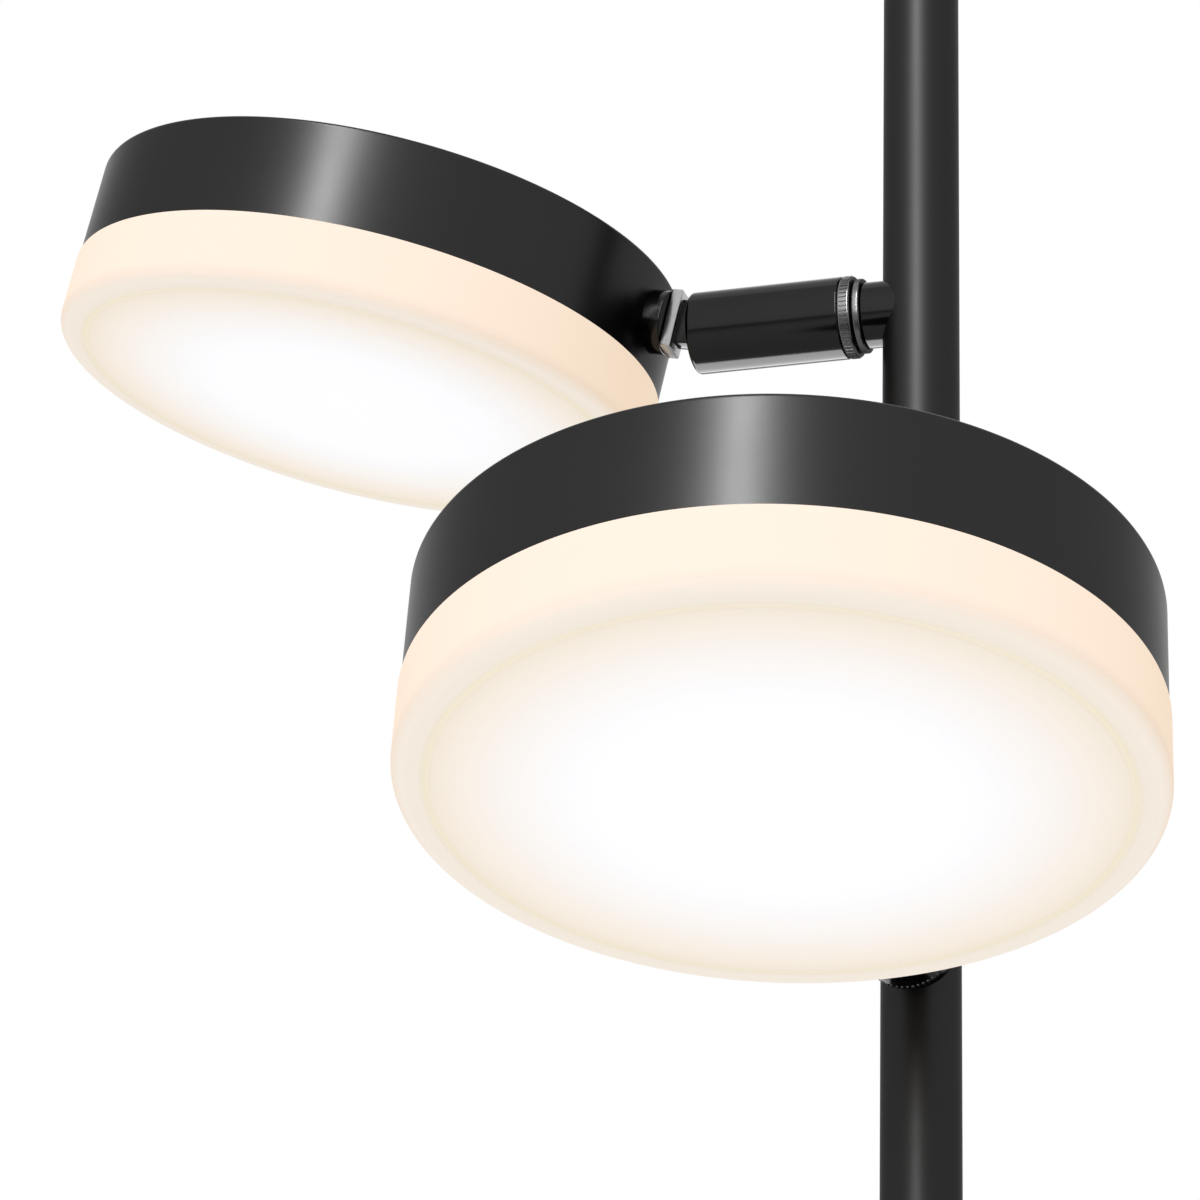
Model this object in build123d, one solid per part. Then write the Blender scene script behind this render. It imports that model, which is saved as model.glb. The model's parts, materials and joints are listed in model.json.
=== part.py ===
"""A floor lamp: a weighted round base, a slim pole and two round lamp heads on swivelling, tilting arms.

Millimetres. +Z is up, the floor is Z = 0, and the pole stands on the Z axis. The front of the lamp faces -Y.
Each arm is drawn along +X of its own frame, with its axis at Z = 0 there, then turned and lifted into place.
"""

from build123d import *
import os

# Pole
POLE_D = 16.0
POLE_WALL = 1.5
LAMP_HEIGHT = 1400.0
POLE_EDGE = 0.4
CAP_TOP = 3.0
CAP_SKIRT = 12.0
COUPLER_LENGTH = 44.0
PLUG_FIT = 0.05

# Base
BASE_R = 120.0
BASE_HEIGHT = 22.0
BASE_EDGE = 4.0
COVER_WALL = 1.5
RIM_LIFT = 1.0
PAD_THICKNESS = 2.0
PAD_INSET = 6.0
PLATE_THICKNESS = 1.5
BASE_GAP = 0.3
STUD_D = 10.0
STUD_FIT = 0.2
STUD_LENGTH_IN_POLE = 25.0
NUT_ACROSS_FLATS = 17.0
NUT_HEIGHT = 7.0
WASHER_R = 12.0
WASHER_THICKNESS = 2.0
NUT_WELL_R = 15.0
NUT_WELL_DEPTH = 10.0
COLLAR_R = 15.0
COLLAR_HEIGHT = 12.0
COLLAR_FIT = 0.1
DRIVER_SIZE = (84.0, 30.0, 12.0)
DRIVER_ROOM = 1.0
DRIVER_SHARE_OF_BASE = 0.55
CHANNEL_WIDTH = 9.0
PLATE_SCREWS = 3
PLATE_SCREW_INSET = 24.0
PLATE_SCREW_START = 180.0

# Cord gland in the back of the base
GLAND_Z = 11.0
GLAND_R = 5.5
GLAND_BORE_R = 3.6
GLAND_FLANGE_R = 7.0
GLAND_FLANGE = 2.5
GLAND_LENGTH = 12.0
GLAND_FIT = 0.1

# Leads inside the pole
CABLE_D = 5.0
LEAD_D = 3.0
LEAD_ROOM = 0.3

# Arms
ARM_BELOW_TOP = 113.0
ARM_SPACING = 141.1
UPPER_ARM_TURN = 161.6
LOWER_ARM_TURN = 254.3
UPPER_REST_SWIVEL = 0.6
LOWER_REST_SWIVEL = 1.7
UPPER_REST_TILT = 11.9
LOWER_REST_TILT = 13.3
STUB_R = 7.0
STUB_LENGTH = 3.6
SHANK_R = 4.0
SHANK_PAST_AXIS = 2.0
INSERT_LENGTH = 20.0
INSERT_LEAD_OFFSET = 4.3
JOURNAL_R = 5.0
JOURNAL_LENGTH = 14.4
JOURNAL_FIT = 0.05
JOURNAL_GROOVE = 1.0
JOURNAL_GROOVE_ROOM = 0.3
WIRE_BORE_R = 2.0
FRICTION_WASHER = 1.6
FRICTION_WASHER_R = 7.9
SWIVEL_GAP = 0.3
SWIVEL_RING = 2.6
SWIVEL_RING_EDGE = 0.5
BARREL_R = 8.75
BARREL_LENGTH = 33.1
BARREL_EDGE = 1.0
BARREL_SHOULDER = 0.3
BARREL_WALL_BEHIND_JOURNAL = 0.5
GRUB_R = 1.5
GRUB_SUNK = 0.6
GRUB_FIT = 0.1

# Tilt hinge
PIVOT_INSET = 9.2
TONGUE_THICKNESS = 4.0
TONGUE_HEIGHT = 10.0
SLOT_FIT = 0.15
SLOT_END_ROOM = 0.7
SLOT_FLOOR = 1.55
PIN_R = 2.0
PIN_FIT = 0.05
PIN_SUNK = 0.7
PIN_BLIND_SKIN = 1.6
BOSS_R = 6.9
BOSS_LENGTH = 3.5
TONGUE_COLLAR = 2.6
TONGUE_COLLAR_SIDE = 1.35
TONGUE_COLLAR_ENDS = 1.55
TONGUE_COLLAR_EDGE = 0.4
PIVOT_TO_DRUM = 18.8

# Heads
DRUM_R = 65.0
DRUM_HEIGHT = 22.0
DRUM_WALL = 1.5
DRUM_TOP = 3.0
DRUM_EDGE = 0.8
DIFFUSER_OVERHANG = 0.4
DIFFUSER_HEIGHT = 15.2
DIFFUSER_WALL = 2.5
DIFFUSER_EDGE = 2.6
DIFFUSER_LIP = 6.0
DIFFUSER_LIP_WALL = 2.0
DIFFUSER_FIT = 0.2
RING_INSET = 6.0
RING_WIDTH = 1.2
RING_DEPTH = 0.9
BOARD_ROOM = 5.5
BOARD_THICKNESS = 1.6
BOARD_SCREWS = 3
BOARD_SCREW_INSET = 6.0
SCREW_R = 1.5
SCREW_FIT = 0.1
SCREW_HEAD_R = 2.75
SCREW_HEAD = 2.0
BOARD_SCREW_BITE = 2.4
LED_SIZE = (3.0, 3.0, 0.8)
LED_RING_COUNT = 3
FIRST_RING_LED_COUNT = 6
TERMINAL_SIZE = (12.0, 7.0, 5.0)
TONGUE_SCREW_SPACING = 7.0
TONGUE_SCREW_BITE = 2.6

# Sizes that follow from those above
POLE_R = POLE_D / 2
POLE_BORE_R = POLE_R - POLE_WALL
PLUG_R = POLE_BORE_R - PLUG_FIT
CABLE_BORE_R = CABLE_D / 2 + LEAD_ROOM
PLATE_Z = PAD_THICKNESS
WEIGHT_Z = PLATE_Z + PLATE_THICKNESS
COVER_CEILING = BASE_HEIGHT - COVER_WALL
WEIGHT_R = BASE_R - COVER_WALL - BASE_GAP - BASE_EDGE
PLATE_R = BASE_R - COVER_WALL - BASE_GAP
PAD_R = BASE_R - PAD_INSET
NUT_WELL_TOP = WEIGHT_Z + NUT_WELL_DEPTH
PLATE_SCREW_RING_R = BASE_R - PLATE_SCREW_INSET
DRIVER_X = BASE_R * DRIVER_SHARE_OF_BASE
POLE_TOP = LAMP_HEIGHT - CAP_TOP
TUBE_LENGTH = (POLE_TOP - BASE_HEIGHT) / 3
LOWER_POLE_TOP = BASE_HEIGHT + TUBE_LENGTH
MIDDLE_POLE_TOP = LOWER_POLE_TOP + TUBE_LENGTH
UPPER_ARM_Z = LAMP_HEIGHT - ARM_BELOW_TOP
LOWER_ARM_Z = UPPER_ARM_Z - ARM_SPACING
WASHER_END = POLE_R + STUB_LENGTH + FRICTION_WASHER
SWIVEL_RING_START = WASHER_END + SWIVEL_GAP
BARREL_START = SWIVEL_RING_START + SWIVEL_RING
BARREL_END = BARREL_START + BARREL_LENGTH
PIVOT_X = BARREL_END - PIVOT_INSET
SLOT_START = PIVOT_X - TONGUE_HEIGHT / 2 - SLOT_END_ROOM
JOURNAL_END = BARREL_START + JOURNAL_LENGTH
GRUB_X = BARREL_START + JOURNAL_LENGTH / 2
GROOVE_START = GRUB_X - GRUB_R - JOURNAL_GROOVE_ROOM
GROOVE_END = GRUB_X + GRUB_R + JOURNAL_GROOVE_ROOM
DRUM_BORE_R = DRUM_R - DRUM_WALL
DRUM_NEAR_X = PIVOT_TO_DRUM
PIVOT_TO_HEAD = PIVOT_TO_DRUM + DRUM_R
DRUM_DISH = TONGUE_SCREW_SPACING**2 / (2 * DRUM_BORE_R)
BOSS_X = DRUM_NEAR_X - BOSS_LENGTH
TONGUE_COLLAR_X = BOSS_X - TONGUE_COLLAR
SEAM_Z = -DRUM_HEIGHT / 2
CEILING_Z = DRUM_HEIGHT / 2 - DRUM_TOP
BOARD_Z = CEILING_Z - BOARD_THICKNESS
DIFFUSER_R = DRUM_R + DIFFUSER_OVERHANG
RING_R = DIFFUSER_R - RING_INSET
BOARD_R = DRUM_BORE_R - BOARD_ROOM
BOARD_SCREW_RING_R = BOARD_R - BOARD_SCREW_INSET
LED_RING_STEP = BOARD_R / (LED_RING_COUNT + 1)


def disc(radius, z_low, z_high, bore=0.0):
    """A round slice on the Z axis, with a bore where one is given."""
    height = z_high - z_low
    solid = Pos(0, 0, z_low) * Cylinder(radius, height, align=(Align.CENTER, Align.CENTER, Align.MIN))
    if bore:
        solid -= Pos(0, 0, z_low) * Cylinder(bore, height, align=(Align.CENTER, Align.CENTER, Align.MIN))
    return solid


def rod(radius, x_low, x_high):
    """A round bar on the X axis."""
    bar = Cylinder(radius, x_high - x_low, align=(Align.CENTER, Align.CENTER, Align.MIN))
    return Pos(x_low, 0, 0) * Rot(0, 90, 0) * bar


def cross_rod(radius, y_low, y_high):
    """A round bar on the Y axis."""
    bar = Cylinder(radius, y_high - y_low, align=(Align.CENTER, Align.CENTER, Align.MIN))
    return Pos(0, y_low, 0) * Rot(-90, 0, 0) * bar


def turned(*edges):
    """A solid of revolution about the Z axis from edges that close an outline in the XZ plane."""
    return revolve(make_face(list(edges)), axis=Axis.Z)


def around(count, radius, start, shape):
    """Copies of a shape, evenly spaced on a circle about the Z axis."""
    step = 360 / count
    return [Rot(0, 0, start + i * step) * Pos(radius, 0, 0) * shape for i in range(count)]


def pan_screw(head_z, point_z):
    """A pan-head screw that points up: its head hangs below head_z and its tip reaches point_z."""
    head = disc(SCREW_HEAD_R, head_z - SCREW_HEAD, head_z)
    head = fillet(head.edges().group_by(Axis.Z)[0], SCREW_HEAD / 2.5)
    drive = Pos(0, 0, head_z - SCREW_HEAD) * extrude(RegularPolygon(SCREW_R / 1.6, 6), SCREW_HEAD / 2)
    return head - drive + disc(SCREW_R, head_z, point_z)


# The base


def base_cover():
    """The spun steel shell, open underneath, with holes for the pole's stud and the cord gland."""
    shell = disc(BASE_R, RIM_LIFT, BASE_HEIGHT)
    shell = fillet(shell.edges().group_by(Axis.Z)[-1], BASE_EDGE)
    hollow = disc(BASE_R - COVER_WALL, RIM_LIFT, COVER_CEILING)
    hollow = fillet(hollow.edges().group_by(Axis.Z)[-1], BASE_EDGE - COVER_WALL)
    stud_hole = disc(STUD_D / 2 + STUD_FIT, COVER_CEILING, BASE_HEIGHT)
    gland_hole = Pos(0, 0, GLAND_Z) * cross_rod(GLAND_R + GLAND_FIT, BASE_R - 2 * GLAND_LENGTH, BASE_R)
    return shell - hollow - stud_hole - gland_hole


def base_weight():
    """The cast iron slab, with a well for the nut, a pocket for the driver and channels for the leads."""
    slab = disc(WEIGHT_R, WEIGHT_Z, COVER_CEILING)
    slab = fillet(slab.edges().group_by(Axis.Z)[-1], BASE_EDGE - COVER_WALL)
    slab -= disc(STUD_D / 2 + STUD_FIT, WEIGHT_Z, COVER_CEILING)
    slab -= disc(NUT_WELL_R, WEIGHT_Z, NUT_WELL_TOP)
    long, wide, tall = DRIVER_SIZE
    from_floor = (Align.CENTER, Align.CENTER, Align.MIN)
    pocket_size = (wide + 2 * DRIVER_ROOM, long + 2 * DRIVER_ROOM, tall + DRIVER_ROOM)
    slab -= Pos(DRIVER_X, 0, WEIGHT_Z) * Box(*pocket_size, align=from_floor)
    gland_top = GLAND_Z + GLAND_R + BASE_GAP
    slab -= Pos(0, 0, WEIGHT_Z) * Box(
        2 * (GLAND_R + BASE_GAP), BASE_R, gland_top - WEIGHT_Z, align=(Align.CENTER, Align.MIN, Align.MIN)
    )
    slab -= Pos(0, 0, WEIGHT_Z) * Box(
        DRIVER_X, CHANNEL_WIDTH, CHANNEL_WIDTH, align=(Align.MIN, Align.CENTER, Align.MIN)
    )
    for hole in around(PLATE_SCREWS, PLATE_SCREW_RING_R, PLATE_SCREW_START, plate_screw(SCREW_FIT)):
        slab -= hole
    return slab


def plate_screw(grow=0.0):
    """One countersunk screw that holds the bottom plate to the weight, or its hole if it is grown."""
    shank_r = SCREW_R + grow
    tip = WEIGHT_Z + 3 * SCREW_HEAD + grow
    cone = Pos(0, 0, PLATE_Z) * Cone(
        SCREW_HEAD_R + grow, shank_r, PLATE_THICKNESS, align=(Align.CENTER, Align.CENTER, Align.MIN)
    )
    return cone + disc(shank_r, WEIGHT_Z, tip)


def base_plate():
    """The steel sheet that closes the base from below."""
    sheet = disc(PLATE_R, PLATE_Z, WEIGHT_Z)
    for hole in around(PLATE_SCREWS, PLATE_SCREW_RING_R, PLATE_SCREW_START, plate_screw(SCREW_FIT)):
        sheet -= hole
    return sheet


def base_pad():
    """The felt disc that the lamp stands on."""
    return disc(PAD_R, 0, PAD_THICKNESS)


def led_driver():
    """The potted power supply that lies on the bottom plate."""
    long, wide, tall = DRIVER_SIZE
    case = Pos(DRIVER_X, 0, WEIGHT_Z) * Box(wide, long, tall, align=(Align.CENTER, Align.CENTER, Align.MIN))
    return fillet(case.edges().filter_by(Axis.Z), wide / 15)


def cord_gland():
    """The bushing in the back of the base that a mains cord goes through."""
    outer = cross_rod(GLAND_R, BASE_R - COVER_WALL - GLAND_LENGTH, BASE_R)
    flange = cross_rod(GLAND_FLANGE_R, BASE_R - COVER_WALL, BASE_R + GLAND_FLANGE)
    flange = fillet(flange.edges().group_by(Axis.Y)[-1], GLAND_FLANGE / 2.5)
    flange = Pos(0, 0, GLAND_Z) * flange - disc(BASE_R, 0, BASE_HEIGHT)
    bore = Pos(0, 0, GLAND_Z) * cross_rod(GLAND_BORE_R, 0, 2 * BASE_R)
    return Pos(0, 0, GLAND_Z) * outer + flange - bore


def foot_stud():
    """The hollow threaded stud: its head fills the pole's foot and its shank goes down through the base."""
    shank = disc(STUD_D / 2, WEIGHT_Z + BASE_GAP, BASE_HEIGHT)
    head = disc(PLUG_R, BASE_HEIGHT, BASE_HEIGHT + STUD_LENGTH_IN_POLE)
    return shank + head - disc(CABLE_BORE_R, WEIGHT_Z, BASE_HEIGHT + STUD_LENGTH_IN_POLE)


def foot_washer():
    """The washer under the weight."""
    return disc(WASHER_R, NUT_WELL_TOP - WASHER_THICKNESS, NUT_WELL_TOP, STUD_D / 2 + STUD_FIT)


def foot_nut():
    """The nut that clamps the pole, the cover and the weight together."""
    top = NUT_WELL_TOP - WASHER_THICKNESS
    corner_r = NUT_ACROSS_FLATS / 3**0.5
    nut = Pos(0, 0, top - NUT_HEIGHT) * extrude(RegularPolygon(corner_r, 6), NUT_HEIGHT)
    return nut - disc(STUD_D / 2 + PLUG_FIT, top - NUT_HEIGHT, top)


def pole_collar():
    """The ring that hides where the pole meets the base."""
    ring = disc(COLLAR_R, BASE_HEIGHT, BASE_HEIGHT + COLLAR_HEIGHT, POLE_R + COLLAR_FIT)
    top_edges = ring.edges().group_by(Axis.Z)[-1]
    return fillet(top_edges.sort_by(SortBy.RADIUS)[-1], COLLAR_HEIGHT / 6)


# The pole


def pole_tube(z_low, z_high, arms=()):
    """One length of tube with eased ends, drilled for the shanks of the arms it carries."""
    tube = disc(POLE_R, z_low, z_high, POLE_BORE_R)
    ends = [e for e in tube.edges().filter_by(GeomType.CIRCLE) if abs(e.radius - POLE_R) < PLUG_FIT]
    tube = chamfer(ends, POLE_EDGE)
    for height, turn in arms:
        tube -= Pos(0, 0, height) * Rot(0, 0, turn) * rod(SHANK_R + PLUG_FIT, 0, POLE_D)
    return tube


def pole_coupler(z):
    """The hollow joiner inside the pole where two tubes meet."""
    return disc(PLUG_R, z - COUPLER_LENGTH / 2, z + COUPLER_LENGTH / 2, CABLE_BORE_R)


def pole_cap():
    """The flat cap on top of the pole."""
    cap = disc(POLE_R, POLE_TOP, LAMP_HEIGHT)
    cap = fillet(cap.edges().group_by(Axis.Z)[-1], CAP_TOP / 2)
    return cap + disc(PLUG_R, POLE_TOP - CAP_SKIRT, POLE_TOP)


def pole_cable():
    """The cable from the base to the lower arm."""
    return disc(CABLE_D / 2, WEIGHT_Z + BASE_GAP, LOWER_ARM_Z - INSERT_LENGTH / 2)


def lead_place():
    """Where the upper lead passes the lower arm's shank: behind it, off the pole's axis."""
    return Rot(0, 0, LOWER_ARM_TURN) * Pos(-INSERT_LEAD_OFFSET, 0, 0)


def upper_lead():
    """The thinner lead that goes on from the lower arm to the upper arm."""
    return lead_place() * disc(
        LEAD_D / 2, LOWER_ARM_Z - INSERT_LENGTH / 2, UPPER_ARM_Z - INSERT_LENGTH / 2
    )


# One arm, along +X of its own frame


def arm_insert():
    """The slug inside the pole that the arm's shank screws into."""
    slug = disc(PLUG_R, -INSERT_LENGTH / 2, INSERT_LENGTH / 2)
    slug -= rod(SHANK_R + PLUG_FIT, -SHANK_PAST_AXIS, POLE_D)
    passage = disc(LEAD_D / 2 + LEAD_ROOM, -INSERT_LENGTH / 2, INSERT_LENGTH / 2)
    return slug - Pos(-INSERT_LEAD_OFFSET, 0, 0) * passage


def arm_spigot():
    """The turned stub: a shank in the pole, a shoulder against it, and a grooved journal for the barrel."""
    shoulder = rod(STUB_R, 0, POLE_R + STUB_LENGTH) - disc(POLE_R, -POLE_D, POLE_D)
    shank = rod(SHANK_R, -SHANK_PAST_AXIS, POLE_R + STUB_LENGTH)
    journal = rod(JOURNAL_R, POLE_R + STUB_LENGTH, JOURNAL_END)
    groove = rod(JOURNAL_R, GROOVE_START, GROOVE_END)
    groove -= rod(JOURNAL_R - JOURNAL_GROOVE, GROOVE_START, GROOVE_END)
    wire_bore = rod(WIRE_BORE_R, -POLE_D, JOURNAL_END)
    return shoulder + shank + journal - groove - wire_bore


def friction_washer():
    """The bright washer that the knuckle turns against."""
    ring = rod(FRICTION_WASHER_R, POLE_R + STUB_LENGTH, WASHER_END)
    rim = ring.edges().group_by(Axis.X)
    ring = fillet(rim[0] + rim[-1], FRICTION_WASHER / 4)
    return ring - rod(JOURNAL_R + JOURNAL_FIT, POLE_R, BARREL_END)


def swivel_ring():
    """The bright ring pressed onto the barrel's inner end."""
    ring = rod(BARREL_R, SWIVEL_RING_START, BARREL_START)
    rim = ring.edges().group_by(Axis.X)
    ring = fillet(rim[0] + rim[-1], SWIVEL_RING_EDGE)
    return ring - rod(JOURNAL_R + JOURNAL_FIT, POLE_R, BARREL_END)


def swivel_barrel():
    """The round block that turns on the journal and holds the tongue in a slot open above and in front."""
    block = rod(BARREL_R, BARREL_START, BARREL_END)
    block = fillet(block.edges().group_by(Axis.X)[0], BARREL_SHOULDER)
    block = fillet(block.edges().group_by(Axis.X)[-1], BARREL_EDGE)
    block -= rod(JOURNAL_R + JOURNAL_FIT, BARREL_START, JOURNAL_END + BARREL_WALL_BEHIND_JOURNAL)
    block -= rod(WIRE_BORE_R, BARREL_START, BARREL_END)
    slot_width = TONGUE_THICKNESS + 2 * SLOT_FIT
    block -= Pos(SLOT_START, 0, SLOT_FLOOR - BARREL_R) * Box(
        BARREL_LENGTH, slot_width, 2 * BARREL_R, align=(Align.MIN, Align.CENTER, Align.MIN)
    )
    block -= Pos(PIVOT_X, 0, 0) * cross_rod(PIN_R + PIN_FIT, -BARREL_R, BARREL_R - PIN_BLIND_SKIN)
    block -= Pos(GRUB_X, 0, 0) * cross_rod(GRUB_R + GRUB_FIT, -BARREL_R, -JOURNAL_R / 2)
    return block


def swivel_grub():
    """The grub screw in the back of the barrel whose tip runs in the journal's groove."""
    tip = -(JOURNAL_R - JOURNAL_GROOVE / 2)
    head = -(BARREL_R - GRUB_SUNK)
    screw = cross_rod(GRUB_R, head, tip)
    socket = Pos(0, head, 0) * Rot(-90, 0, 0) * extrude(RegularPolygon(GRUB_R / 2, 6), GRUB_R)
    return Pos(GRUB_X, 0, 0) * (screw - socket)


def tilt_pin():
    """The pin that the head tilts on, pushed in from the back of the barrel."""
    return Pos(PIVOT_X, 0, 0) * cross_rod(PIN_R, PIN_SUNK - BARREL_R, BARREL_R - PIN_BLIND_SKIN)


# One head, with the tilt pin at the origin of its own frame and the drum's axis upright at X = PIVOT_TO_HEAD


def tilt_tongue():
    """The flat tongue in the barrel's slot, on a round boss that seats on the drum's wall."""
    plate = Box(BOSS_X, TONGUE_THICKNESS, TONGUE_HEIGHT, align=(Align.MIN, Align.CENTER, Align.CENTER))
    nose = cross_rod(TONGUE_HEIGHT / 2, -TONGUE_THICKNESS / 2, TONGUE_THICKNESS / 2)
    boss = rod(BOSS_R, BOSS_X, PIVOT_TO_HEAD)
    boss -= Pos(PIVOT_TO_HEAD, 0, 0) * disc(DRUM_R, -DRUM_HEIGHT, DRUM_HEIGHT)
    piece = plate + nose + boss
    piece -= cross_rod(PIN_R + PIN_FIT, -TONGUE_THICKNESS, TONGUE_THICKNESS)
    for side in (-1, 1):
        hole = rod(SCREW_R + SCREW_FIT, DRUM_NEAR_X - TONGUE_SCREW_BITE, PIVOT_TO_HEAD)
        piece -= Pos(0, side * TONGUE_SCREW_SPACING / 2, 0) * hole
    return piece


def tongue_collar():
    """The bright plate in front of the boss, with a window for the tongue."""
    window = (4 * TONGUE_COLLAR, TONGUE_THICKNESS + 2 * SLOT_FIT, TONGUE_HEIGHT + 2 * SLOT_FIT)
    deep = window[1] + 2 * TONGUE_COLLAR_SIDE
    tall = window[2] + 2 * TONGUE_COLLAR_ENDS
    plate = Box(TONGUE_COLLAR, deep, tall, align=(Align.MIN, Align.CENTER, Align.CENTER))
    plate = fillet(plate.edges().filter_by(Axis.X), TONGUE_COLLAR_EDGE)
    return Pos(TONGUE_COLLAR_X, 0, 0) * (plate - Box(*window))


def tongue_screws():
    """The two screws inside the drum that hold the tongue's boss against its wall."""
    flat = DRUM_NEAR_X + DRUM_WALL + DRUM_DISH
    lone = rod(SCREW_R, DRUM_NEAR_X - TONGUE_SCREW_BITE + SCREW_FIT, flat) + rod(
        SCREW_HEAD_R, flat, flat + SCREW_HEAD
    )
    return [Pos(0, side * TONGUE_SCREW_SPACING / 2, 0) * lone for side in (-1, 1)]


def head_place():
    """From a head's own round middle to the frame of its tilt pin."""
    return Pos(PIVOT_TO_HEAD, 0, 0)


def drum():
    """The turned aluminium cup, open downwards, with holes for the tongue's and the board's screws."""
    cup = disc(DRUM_R, SEAM_Z, DRUM_HEIGHT / 2)
    cup = fillet(cup.edges().group_by(Axis.Z)[-1], DRUM_EDGE)
    cup -= disc(DRUM_BORE_R, SEAM_Z, CEILING_Z)
    tip = CEILING_Z + BOARD_SCREW_BITE
    for hole in around(BOARD_SCREWS, BOARD_SCREW_RING_R, 0, disc(SCREW_R + SCREW_FIT, CEILING_Z, tip)):
        cup -= hole
    for side in (-1, 1):
        hole = rod(SCREW_R + SCREW_FIT, -PIVOT_TO_HEAD, 0)
        cup -= Pos(0, side * TONGUE_SCREW_SPACING / 2, 0) * hole
    return head_place() * cup


def led_board():
    """The aluminium circuit board, flat against the drum's ceiling."""
    board = disc(BOARD_R, BOARD_Z, CEILING_Z)
    for hole in around(BOARD_SCREWS, BOARD_SCREW_RING_R, 0, disc(SCREW_R + SCREW_FIT, BOARD_Z, CEILING_Z)):
        board -= hole
    return head_place() * board


def board_screws():
    """The screws that hold the board up."""
    screw = pan_screw(BOARD_Z, CEILING_Z + BOARD_SCREW_BITE - SCREW_FIT)
    return [head_place() * s for s in around(BOARD_SCREWS, BOARD_SCREW_RING_R, 0, screw)]


def led_chips():
    """The light sources, in rings on the board."""
    chip = Pos(0, 0, BOARD_Z) * Box(*LED_SIZE, align=(Align.CENTER, Align.CENTER, Align.MAX))
    chips = []
    for ring in range(1, LED_RING_COUNT + 1):
        count = ring * FIRST_RING_LED_COUNT
        chips += around(count, ring * LED_RING_STEP, 180 / count, chip)
    return [head_place() * c for c in chips]


def board_terminal():
    """The push-in connector in the middle of the board."""
    block = Pos(0, 0, BOARD_Z) * Box(*TERMINAL_SIZE, align=(Align.CENTER, Align.CENTER, Align.MAX))
    long, wide, tall = TERMINAL_SIZE
    mouth = Pos(-long / 2, 0, BOARD_Z - tall / 2) * Rot(0, 90, 0) * Cylinder(tall / 4, long)
    sides = [Pos(0, side * wide / 4, 0) * mouth for side in (-1, 1)]
    return head_place() * (block - sides[0] - sides[1])


def diffuser():
    """The opal cup: a lip in the drum, a straight side, a rounded edge and a flat face with a fine ring."""
    low = SEAM_Z - DIFFUSER_HEIGHT
    lip_r = DRUM_BORE_R - DIFFUSER_FIT
    lip_top = SEAM_Z + DIFFUSER_LIP
    lip_in = lip_r - DIFFUSER_LIP_WALL
    corner_r = DIFFUSER_R - DIFFUSER_EDGE
    ring_out = RING_R + RING_WIDTH / 2
    ring_in = RING_R - RING_WIDTH / 2
    ring_z = low + RING_DEPTH
    floor_z = low + DIFFUSER_WALL + RING_DEPTH
    round_edge = Edge.make_three_point_arc(
        (DIFFUSER_R, 0, low + DIFFUSER_EDGE),
        (corner_r + DIFFUSER_EDGE * 0.5**0.5, 0, low + DIFFUSER_EDGE * (1 - 0.5**0.5)),
        (corner_r, 0, low),
    )
    ring_curve = Edge.make_three_point_arc((ring_out, 0, low), (RING_R, 0, ring_z), (ring_in, 0, low))
    solid = turned(
        Edge.make_line((lip_in, 0, lip_top), (lip_r, 0, lip_top)),
        Edge.make_line((lip_r, 0, lip_top), (lip_r, 0, SEAM_Z)),
        Edge.make_line((lip_r, 0, SEAM_Z), (DIFFUSER_R, 0, SEAM_Z)),
        Edge.make_line((DIFFUSER_R, 0, SEAM_Z), (DIFFUSER_R, 0, low + DIFFUSER_EDGE)),
        round_edge,
        Edge.make_line((corner_r, 0, low), (ring_out, 0, low)),
        ring_curve,
        Edge.make_line((ring_in, 0, low), (0, 0, low)),
        Edge.make_line((0, 0, low), (0, 0, floor_z)),
        Edge.make_line((0, 0, floor_z), (lip_in, 0, floor_z)),
        Edge.make_line((lip_in, 0, floor_z), (lip_in, 0, lip_top)),
    )
    return head_place() * solid


# Everything in its place

ARMS = {
    "upper": (UPPER_ARM_Z, UPPER_ARM_TURN, UPPER_REST_SWIVEL, UPPER_REST_TILT),
    "lower": (LOWER_ARM_Z, LOWER_ARM_TURN, LOWER_REST_SWIVEL, LOWER_REST_TILT),
}
STUB_PIECES = {
    "arm_insert": arm_insert,
    "arm_spigot": arm_spigot,
    "friction_washer": friction_washer,
}
KNUCKLE_PIECES = {
    "swivel_ring": swivel_ring,
    "swivel_barrel": swivel_barrel,
    "swivel_grub": swivel_grub,
    "tilt_pin": tilt_pin,
}
HEAD_PIECES = {
    "tilt_tongue": tilt_tongue,
    "tongue_collar": tongue_collar,
    "tongue_screws": tongue_screws,
    "drum": drum,
    "led_board": led_board,
    "board_screws": board_screws,
    "led_chips": led_chips,
    "board_terminal": board_terminal,
    "diffuser": diffuser,
}


def placed(place, made):
    """A solid, or a list of separate solids as one group, moved to its place."""
    if isinstance(made, list):
        return Compound(children=[place * solid for solid in made])
    return place * made


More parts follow.
